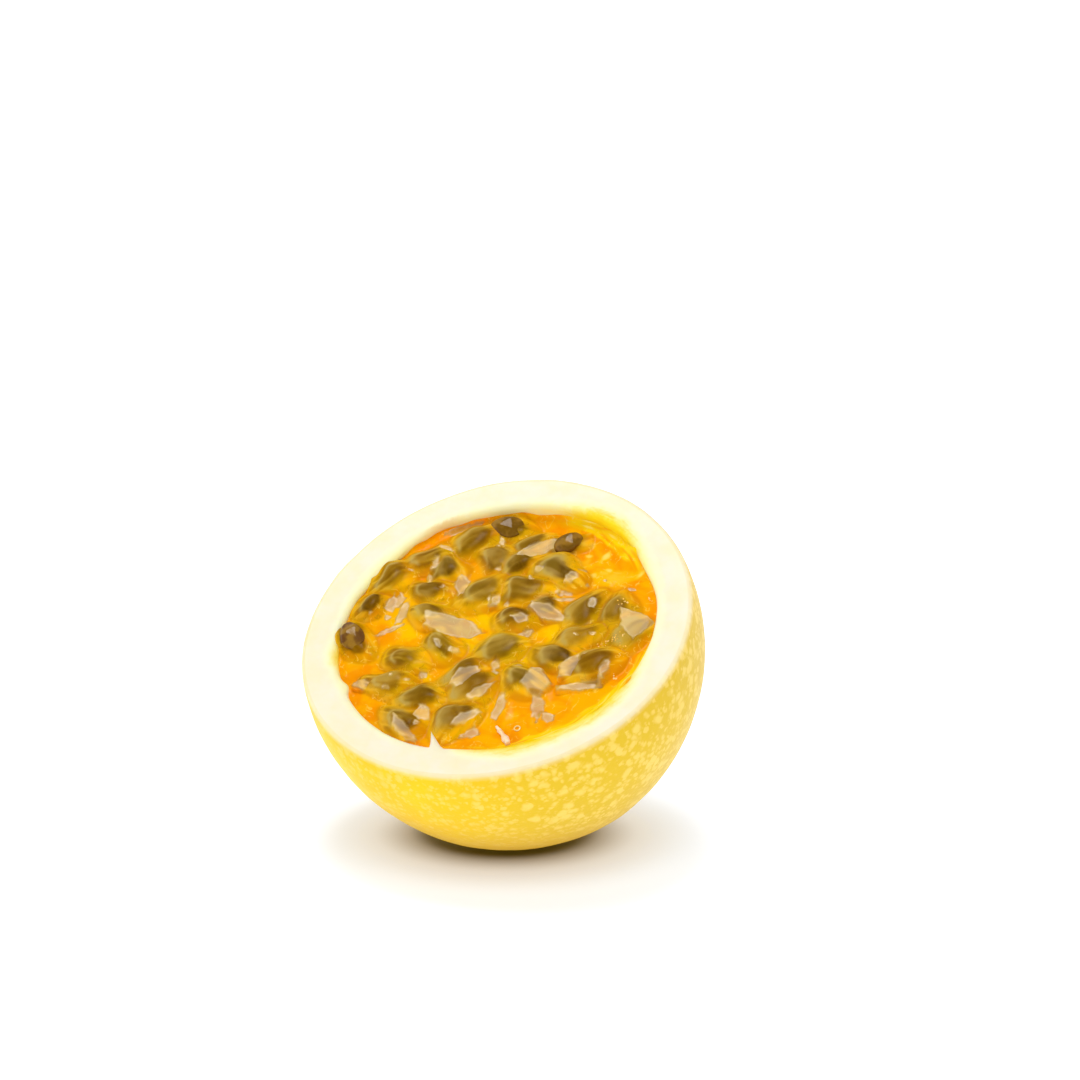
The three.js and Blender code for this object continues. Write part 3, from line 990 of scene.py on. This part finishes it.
def sac_looks(sacs, places, wander):
    """Blends the looks of the sacs, each where it is on top."""
    levels = np.array([juice_level(places), *(sac.level(places) for sac in sacs)])
    shares = np.exp((levels - levels.max(axis=0)) / (0.22 * MM))
    shares /= shares.sum(axis=0)
    looks = {}
    for sac, share in zip(sacs, shares[1:]):
        for name, values in sac.looks(places, wander).items():
            looks[name] = looks.get(name, 0) + share * values
    # Painted shade where sacs meet, strongest where no single sac is on top.
    looks["crease_shade"] = smooth_step(1 - shares.max(axis=0), 0.1, 0.5)
    return looks


def make_pulp(sacs, films):
    """The pulp: its wet surface, and a plain bowl below it that fills the cavity."""
    share, bearings = disc_grid(PULP_SIDE)
    wall = pulp_wall_radius(bearings)
    radius = share * wall
    places = Places(radius * np.cos(bearings), radius * np.sin(bearings))
    to_wall = np.clip(wall - PULP_REACH - radius, 0, None)
    level, looks = pulp_surface(sacs, films, places, to_wall)

    faces, border = grid_faces(PULP_SIDE)
    border_bearings = bearings.ravel()[border]
    rows = [np.stack([places.x.ravel(), places.y.ravel(), level.ravel()], axis=-1)]
    for angle in np.linspace(0, math.pi / 2, BOWL_ROWS + 1)[:-1]:
        bowl_radius, bowl_level = wall_point(CAVITY, angle)
        ring = bowl_radius / CAVITY["radius"] * pulp_wall_radius(border_bearings)
        height = np.full_like(ring, bowl_level)
        rows.append(np.stack([ring * np.cos(border_bearings), ring * np.sin(border_bearings), height], -1))
    rows.append(np.array([[0, 0, WIDEST_LEVEL - CAVITY["depth"]]]))
    points = np.concatenate(rows)
    faces += side_faces(border, share.size, len(rows) - 2)
    mesh = bpy.data.meshes.new("fruit_pulp")
    mesh.from_pydata([STAND @ Vector(point) for point in points], [], faces)
    hidden = np.zeros(len(points) - share.size)
    for name in LOOKS:
        add_attribute(mesh, name, np.concatenate([looks[name].ravel(), hidden]))
    mesh.polygons.foreach_set("use_smooth", [True] * len(mesh.polygons))
    mesh.materials.append(pulp_material())
    return new_object("fruit_pulp", mesh)


def juice_colour(nodes, looks, cloud):
    juice = nodes.mix(
        looks["middle"],
        nodes.mix(cloud.step(0.38, 0.6), *OUTER_JUICE),
        nodes.mix(cloud.step(0.38, 0.6), *INNER_JUICE),
    )
    juice = nodes.mix(looks["torn"].step(0.1, 0.7) * 0.8, juice, TORN_FLESH[0])
    juice = nodes.mix(looks["torn"].step(0.35, 1.1) * 0.9, juice, TORN_FLESH[1])
    juice = nodes.mix(looks["fibre"].step(0.1, 0.5) * 0.9, juice, WALL_FIBRE[0])
    return nodes.mix(looks["fibre"].step(0.7, 1.0) * 0.6, juice, WALL_FIBRE[1])


def flesh_colours(nodes, looks, cloud):
    """The golden flesh at the foot of the sacs, and the olive flesh over their seeds."""
    flow = looks["flow"].step(0.15, 0.85)
    golden = nodes.mix(flow, *GOLDEN_FLESH)
    golden = nodes.mix(cloud.step(0.46, 0.62) * 0.8, golden, GREENISH_GOLD)
    olive = nodes.mix(looks["tint"], nodes.mix(flow, *GREEN_FLESH), nodes.mix(flow, *BROWN_FLESH))
    return golden, olive


def seed_colour(nodes, looks, wisps):
    """A dark seed, paler and greyer on its lit side, where flesh veils it and a sheen is painted."""
    dark = nodes.mix(wisps.step(0.3, 0.7), *DARK_SEED)
    # Painted sheen: the seed turns paler and greyer on its lit side.
    veiled_and_lit = nodes.mix(looks["flow"].step(0.2, 0.8), *VEILED_AND_LIT_SEED)
    return nodes.mix(looks["veil_and_sheen"] * 0.85, dark, veiled_and_lit)


def pulp_colour(nodes, place, looks, cloud):
    """Juice, with the flesh of the sacs over it, then the seeds in them, and films of juice on top. Shade
    is painted in the dips between sacs, flesh and seeds are painted paler on their lit sides as sheen, and
    films and their edges are painted paler as highlights.
    """
    wisps = nodes.noise(place, 1.8 * MM, 3.0, 0.6, 1.0)
    film, gold = looks["film"], looks["gold"]
    golden, olive = flesh_colours(nodes, looks, cloud)
    colour = nodes.mix(gold * (0.5 + 0.6 * cloud), juice_colour(nodes, looks, cloud), golden)
    # Painted shade in the dips between sacs.
    colour = nodes.mix(looks["crease_shade"] * gold * 0.5, colour, CREASE_SHADE)
    membrane = nodes.thin_lines(place, 3.4 * MM, 0.018, 0.5) * wisps.step(0.46, 0.56)
    colour = nodes.mix(membrane * 0.6, colour, PALE_MEMBRANE)
    # Olive flesh is mixed in under films, which greys their painted highlight.
    flesh = looks["flesh"].at_least(film * 0.6)
    colour = nodes.mix(flesh * (0.7 + 0.3 * wisps), colour, olive)
    wrinkle = nodes.thin_lines(place, 2.6 * MM, 0.02, 1.2) * cloud.step(0.45, 0.55) * gold * (1 - film)
    colour = nodes.mix(wrinkle * 0.45, colour, DARK_WRINKLE)
    # Painted sheen: paler streaks of flesh on the lit side of each seed.
    lit_haze = looks["veil_and_sheen"] * looks["flow"].step(0.45, 0.95) * flesh
    colour = nodes.mix(lit_haze * 0.5, colour, LIT_FLESH_HAZE)
    colour = nodes.mix(looks["rim"] * 0.7, colour, LIT_RIM)
    colour = nodes.mix(looks["thread"] * 0.5, colour, PALE_THREAD)
    colour = nodes.mix(looks["seed"] * (1 - 0.5 * film), colour, seed_colour(nodes, looks, wisps))
    # Painted light: paler flesh round the lit side of each seed.
    colour = nodes.mix(looks["lit_hood"] * (0.75 - 0.75 * film), colour, LIT_SEED_HOOD)
    # Painted highlight: films and their edges are painted paler.
    colour = nodes.mix(film * 0.14, colour, FILM_HIGHLIGHT)
    return nodes.mix(looks["edge"] * 0.16, colour, FILM_RIM_HIGHLIGHT)


def pulp_material():
    material, nodes, place = new_material("wet_pulp")
    looks = {name: nodes.attribute(name) for name in LOOKS}
    cloud = nodes.noise(place, 6 * MM, 3.0, 0.55, 0.6)
    film = looks["film"]
    finish_material(
        nodes,
        {
            "Base Color": pulp_colour(nodes, place, looks, cloud),
            "Roughness": 0.14 + 0.12 * looks["gold"] * (1 - film) - 0.09 * film,
            "Specular IOR Level": 0.04,
            "Coat Weight": film * (0.04 + 0.08 * cloud.step(0.38, 0.6)) + 0.14 * looks["edge"],
            "Coat Roughness": 0.05,
            "Subsurface Weight": 0.15,
            "Subsurface Radius": (1.5, 1.2, 0.4),
            "Subsurface Scale": 0.5 * MM,
        },
    )
    return material


# ---------------------------------------------------------------- bare seeds, froth and a seed's stalk


def facet_normal(lean, bearing):
    across = Vector((-math.sin(bearing), math.cos(bearing), 0))
    return Matrix.Rotation(lean, 3, across) @ FILM_NORMAL


def ball_tree(sizes):
    """Sets a pointed and pitted ball with facets on each point, turned and sized as the point says."""
    nodes, sizes = sized_tree("ball_setting", sizes)
    ball_values = {"Radius": 1.0, "Subdivisions": sizes["Fineness"]}
    ball = nodes.add("GeometryNodeMeshIcoSphere", {}, ball_values)
    place = nodes.add("GeometryNodeInputPosition")
    narrow = 1 - place.part(0) * sizes["Taper"]
    shaped = nodes.combine(
        place.part(0) * sizes["Half Length"],
        place.part(1) * sizes["Half Width"] * narrow,
        place.part(2) * sizes["Half Thickness"],
    )
    ball = nodes.add("GeometryNodeSetPosition", {}, {"Geometry": ball, "Position": shaped})
    values = {"Points": sizes["Geometry"], "Instance": ball}
    values.update({"Rotation": stored(nodes, "turn", "FLOAT_VECTOR"), "Scale": stored(nodes, "size")})
    balls = nodes.add("GeometryNodeInstanceOnPoints", {}, values)
    balls = nodes.add("GeometryNodeRealizeInstances", {}, {0: balls})
    place = nodes.add("GeometryNodeInputPosition")
    from_middle = nodes.vector("SUBTRACT", place, stored(nodes, "middle", "FLOAT_VECTOR"))
    uneven = (nodes.noise(place, 2.4 * MM, 0.0) - 0.5) * 0.25 * MM
    for lean, bearing, reach in FACETS:
        normal = facet_normal(math.radians(lean), math.radians(bearing))
        beyond = nodes.vector("DOT_PRODUCT", from_middle, normal, out=1) - sizes["Facet"] * reach + uneven
        pressed = nodes.scaled(normal, beyond.at_least(0.0) * -1)
        balls = nodes.add("GeometryNodeSetPosition", {}, {"Geometry": balls, "Offset": pressed})
    place = nodes.add("GeometryNodeInputPosition")
    balls = pushed_out(nodes, balls, (nodes.noise(place, 0.75 * MM, 1.0) - 0.5) * sizes["Pitting"])
    end_tree(nodes, balls, sizes["Material"])
    return nodes


def set_balls(name, places, turns, scales, sizes):
    """A piece made of balls at places in the fruit's own frame."""
    points = bpy.data.meshes.new(name + "_points")
    middles = [STAND @ Vector(place) for place in places]
    points.from_pydata(middles, [], [])
    leaned = [(Matrix.Rotation(LEAN, 3, "X") @ turn).to_euler()[:] for turn in turns]
    add_attribute(points, "middle", middles, "FLOAT_VECTOR")
    add_attribute(points, "turn", leaned, "FLOAT_VECTOR")
    add_attribute(points, "size", scales)
    return new_object(name, grown_mesh(name, points, ball_tree(sizes), sizes))


def make_bare_seeds(sacs):
    bare = [sac for sac in sacs if sac.shows >= BARE_SHOW]
    places = []
    turns = []
    for sac in bare:
        places.append((float(sac.middle.x), float(sac.middle.y), sac.seed_level(sacs) + SEED_LIFT))
        turns.append(Matrix.Rotation(sac.heading, 3, "Z") @ Matrix.Rotation(sac.tilt, 3, "Y"))
    sizes = {
        "Fineness": 5,
        "Half Length": SEED_LONG,
        "Half Width": SEED_WIDE,
        "Half Thickness": SEED_TALL,
        "Facet": SEED_FACET * SEED_TALL * BARE_SIZE,
        "Taper": 0.2,
        "Pitting": 0.05 * MM,
        "Material": seed_material(),
    }
    return set_balls("bare_seeds", places, turns, [sac.size * BARE_SIZE for sac in bare], sizes)


def on_surface(sacs, films, places):
    """Points of the wet surface, in the fruit's own frame."""
    to_wall = np.clip(pulp_wall_radius(places.bearing) - PULP_REACH - places.radius, 0, None)
    level = pulp_surface(sacs, films, places, to_wall)[0]
    return np.stack([places.x, places.y, level], axis=-1)


def make_froth(sacs, films, draw):
    spots = []
    for radius, bearing, spread, count in FROTH:
        middle = polar_place(radius, bearing)
        for _ in range(count):
            spots.append((middle.x + spread * MM * draw(), middle.y + spread * MM * draw()))
    east, north = np.array(spots).T
    places = on_surface(sacs, films, Places(east, north))
    scales = [0.6 + 0.4 * draw() for _ in places]
    sizes = {
        "Fineness": 3,
        "Half Length": BUBBLE_RADIUS,
        "Half Width": BUBBLE_RADIUS,
        "Half Thickness": 0.7 * BUBBLE_RADIUS,
        "Facet": 10 * BUBBLE_RADIUS,  # beyond the bubble, which stays round
        "Taper": 0.0,
        "Pitting": 0.0,
        "Material": froth_material(),
    }
    return set_balls("juice_froth", places, [Matrix.Identity(3)] * len(places), scales, sizes)


def strand_tree(sizes):
    """Turns lines of points into uneven strands, as thick as each point says."""
    nodes, sizes = sized_tree("strand_drawing", sizes)
    line = nodes.add("GeometryNodeMeshToCurve", {}, {0: sizes["Geometry"]})
    line = nodes.add("GeometryNodeCurveSplineType", {"spline_type": "CATMULL_ROM"}, {0: line})
    line = nodes.add("GeometryNodeResampleCurve", {}, {"Curve": line, "Count": sizes["Rings"]})
    profile = nodes.add("GeometryNodeCurvePrimitiveCircle", {}, {"Resolution": 20, "Radius": 1.0})
    values = {"Curve": line, "Profile Curve": profile, "Scale": stored(nodes, "thickness")}
    values["Fill Caps"] = True
    strand = nodes.add("GeometryNodeCurveToMesh", {}, values)
    place = nodes.add("GeometryNodeInputPosition")
    uneven = (nodes.noise(place, 0.9 * MM, 2.0) - 0.5) * sizes["Unevenness"]
    end_tree(nodes, pushed_out(nodes, strand, uneven), sizes["Material"])
    return nodes


def draw_strand(name, places, thicknesses, closed, sizes):
    """A piece made along a line of places in the fruit's own frame."""
    line = bpy.data.meshes.new(name + "_line")
    edges = [(i, i + 1) for i in range(len(places) - 1)]
    if closed:
        edges.append((len(places) - 1, 0))
    line.from_pydata([STAND @ Vector(place) for place in places], edges, [])
    add_attribute(line, "thickness", thicknesses)
    return new_object(name, grown_mesh(name, line, strand_tree(sizes), sizes))


def make_seed_stalk(sacs, films):
    """A torn stub of the stalk that once held a seed, from the juice to the wall."""
    spots = [polar_place(radius, bearing) for radius, bearing, _ in SEED_STALK]
    spots = Places([spot.x for spot in spots], [spot.y for spot in spots])
    thicknesses = [thickness * MM for _, _, thickness in SEED_STALK]
    places = on_surface(sacs, films, spots)
    places[:, 2] += 0.6 * np.array(thicknesses)
    sizes = {"Rings": 60, "Unevenness": 0.6 * MM, "Material": stalk_material()}
    return draw_strand("seed_stalk", places, thicknesses, False, sizes)


def make_bubble_ring(sacs, films):
    """The thick edge of a bubble in the juice."""
    middle = Vector(on_surface(sacs, films, polar_place(*BUBBLE_PLACE)))
    places = []
    for i in range(BUBBLE_POINTS):
        turn = i * math.tau / BUBBLE_POINTS
        places.append(middle + Vector((math.cos(turn), math.sin(turn), 0.2)) * BUBBLE_RING)
    sizes = {"Rings": 48, "Unevenness": 0.02 * MM, "Material": froth_material()}
    return draw_strand("bubble_ring", places, [0.25 * BUBBLE_RING] * len(places), True, sizes)


def seed_material():
    material, nodes, place = new_material("dark_seed_coat")
    pits = nodes.noise(place, 0.6 * MM, 2.0, 0.5)
    stain = nodes.noise(place, 9 * MM, 1.0)
    brown = nodes.mix(stain.step(0.4, 0.6), *SEED_COAT)
    blotched = nodes.mix(nodes.noise(place, 2.2 * MM, 2.0).step(0.45, 0.65), brown, SEED_BLOTCH)
    colour = nodes.mix(pits.step(0.4, 0.8) * 0.4, blotched, SEED_PIT)
    finish_material(nodes, {"Base Color": colour, "Roughness": 0.2, "Specular IOR Level": 0.13})
    return material


def froth_material():
    material, nodes, place = new_material("froth_of_juice")
    cloud = nodes.noise(place, 4 * MM, 1.0)
    colour = nodes.mix(cloud.step(0.4, 0.6), *FROTH_COLOURS)
    finish_material(nodes, {"Base Color": colour, "Roughness": 0.1, "Specular IOR Level": 0.3})
    return material


def stalk_material():
    material, nodes, place = new_material("torn_seed_stalk")
    cloud = nodes.noise(place, 1.5 * MM, 2.0)
    colour = nodes.mix(cloud.step(0.35, 0.65), *STALK_COLOURS)
    finish_material(nodes, {"Base Color": colour, "Roughness": 0.3, "Specular IOR Level": 0.3})
    return material


# ---------------------------------------------------------------- stage


def camera_axes():
    """The camera's right, its up, and the way back from what it looks at."""
    flat = Vector((math.sin(CAMERA_AZIMUTH), -math.cos(CAMERA_AZIMUTH), 0))
    back = flat * math.cos(CAMERA_ELEVATION) + Vector((0, 0, math.sin(CAMERA_ELEVATION)))
    right = Vector((math.cos(CAMERA_AZIMUTH), math.sin(CAMERA_AZIMUTH), 0))
    return right, back.cross(right), back


def make_camera():
    right, up, back = camera_axes()
    aim = CUT_CENTRE + right * CAMERA_AIM_RIGHT + up * CAMERA_AIM_UP
    data = bpy.data.cameras.new("camera")
    data.lens = CAMERA_LENS
    data.sensor_width = 36
    data.clip_start, data.clip_end = 0.01, 50
    camera = bpy.data.objects.new("camera", data)
    bpy.context.scene.collection.objects.link(camera)
    turn = Matrix((right, up, back)).transposed().to_4x4()
    camera.matrix_world = Matrix.Translation(aim + back * CAMERA_DISTANCE) @ turn
    bpy.context.scene.camera = camera


def make_softbox():
    data = bpy.data.lights.new("top_softbox", "AREA")
    data.shape = "RECTANGLE"
    data.size, data.size_y = SOFTBOX_SIZE
    data.energy = SOFTBOX_POWER
    light = bpy.data.objects.new("top_softbox", data)
    bpy.context.scene.collection.objects.link(light)
    light.location = SOFTBOX_PLACE
    light.rotation_euler = (CUT_CENTRE - SOFTBOX_PLACE).to_track_quat("-Z", "Y").to_euler()


def make_world():
    """Soft light from all round, which is dimmer overhead."""
    world = bpy.data.worlds.new("studio")
    bpy.context.scene.world = world
    world.use_nodes = True
    world.node_tree.nodes.clear()
    nodes = Nodes(world.node_tree)
    upwards = nodes.add("ShaderNodeTexCoord").part(2).step(0.1, 0.75)
    background = nodes.add("ShaderNodeBackground", {}, {"Strength": 1.9 - 1.55 * upwards})
    nodes.add("ShaderNodeOutputWorld", {}, {"Surface": background})


def make_table():
    """A white table that glows, except close to where the fruit stands, where a darker, warmer shadow is
    painted on it.
    """
    mesh = bpy.data.meshes.new("table")
    reach = TABLE_SIDE / 2
    corners = [(-reach, -reach, 0), (reach, -reach, 0), (reach, reach, 0), (-reach, reach, 0)]
    mesh.from_pydata(corners, [], [(0, 1, 2, 3)])
    table = new_object("table", mesh)
    material, nodes, place = new_material("white_table")
    oval = {"Vector": place, "Location": SHADE_MIDDLE, "Rotation": (0, 0, CAMERA_AZIMUTH)}
    oval["Scale"] = (SHADE_WIDENING, 1, 1)
    in_shade = nodes.add("ShaderNodeMapping", {"vector_type": "TEXTURE"}, oval)
    away = nodes.vector("DISTANCE", in_shade, (0, 0, 0), out=1)
    shade = nodes.mix(away.step(*SHADE_DARKEST), DARKEST_SHADE, WARM_SHADE)
    tone = nodes.mix(away.step(*SHADE_WARMEST), shade, OPEN_TABLE)
    glow = 0.0
    for start, end, share in GLOW_RISES:
        glow = glow + away.step(start, end) * share
    glow = nodes.mix(glow, *TABLE_GLOW)
    values = {"Base Color": tone, "Roughness": 0.7, "Emission Color": glow, "Emission Strength": 0.9}
    finish_material(nodes, values)
    mesh.materials.append(material)


def make_stage():
    make_world()
    make_softbox()
    make_table()
    bpy.context.scene.view_settings.view_transform = "Standard"


def main():
    make_camera()
    make_stage()
    draw = Draw(DRAW_SEED)
    sacs = [Sac(radius, *sac, draw) for radius, ring in SAC_RINGS for sac in ring]
    films = [Film(*film, draw) for film in FILMS] + scattered_glints(draw)
    peel = make_peel()
    pulp = make_pulp(sacs, films)
    stalk = make_seed_stalk(sacs, films)
    wet_pieces = [make_bare_seeds(sacs), make_froth(sacs, films, draw), make_bubble_ring(sacs, films)]
    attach(peel, "root")
    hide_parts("peel")
    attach(pulp, "root")
    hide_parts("pulp")
    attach(stalk, "root")
    for piece in wet_pieces:
        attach(piece, "root")


main()
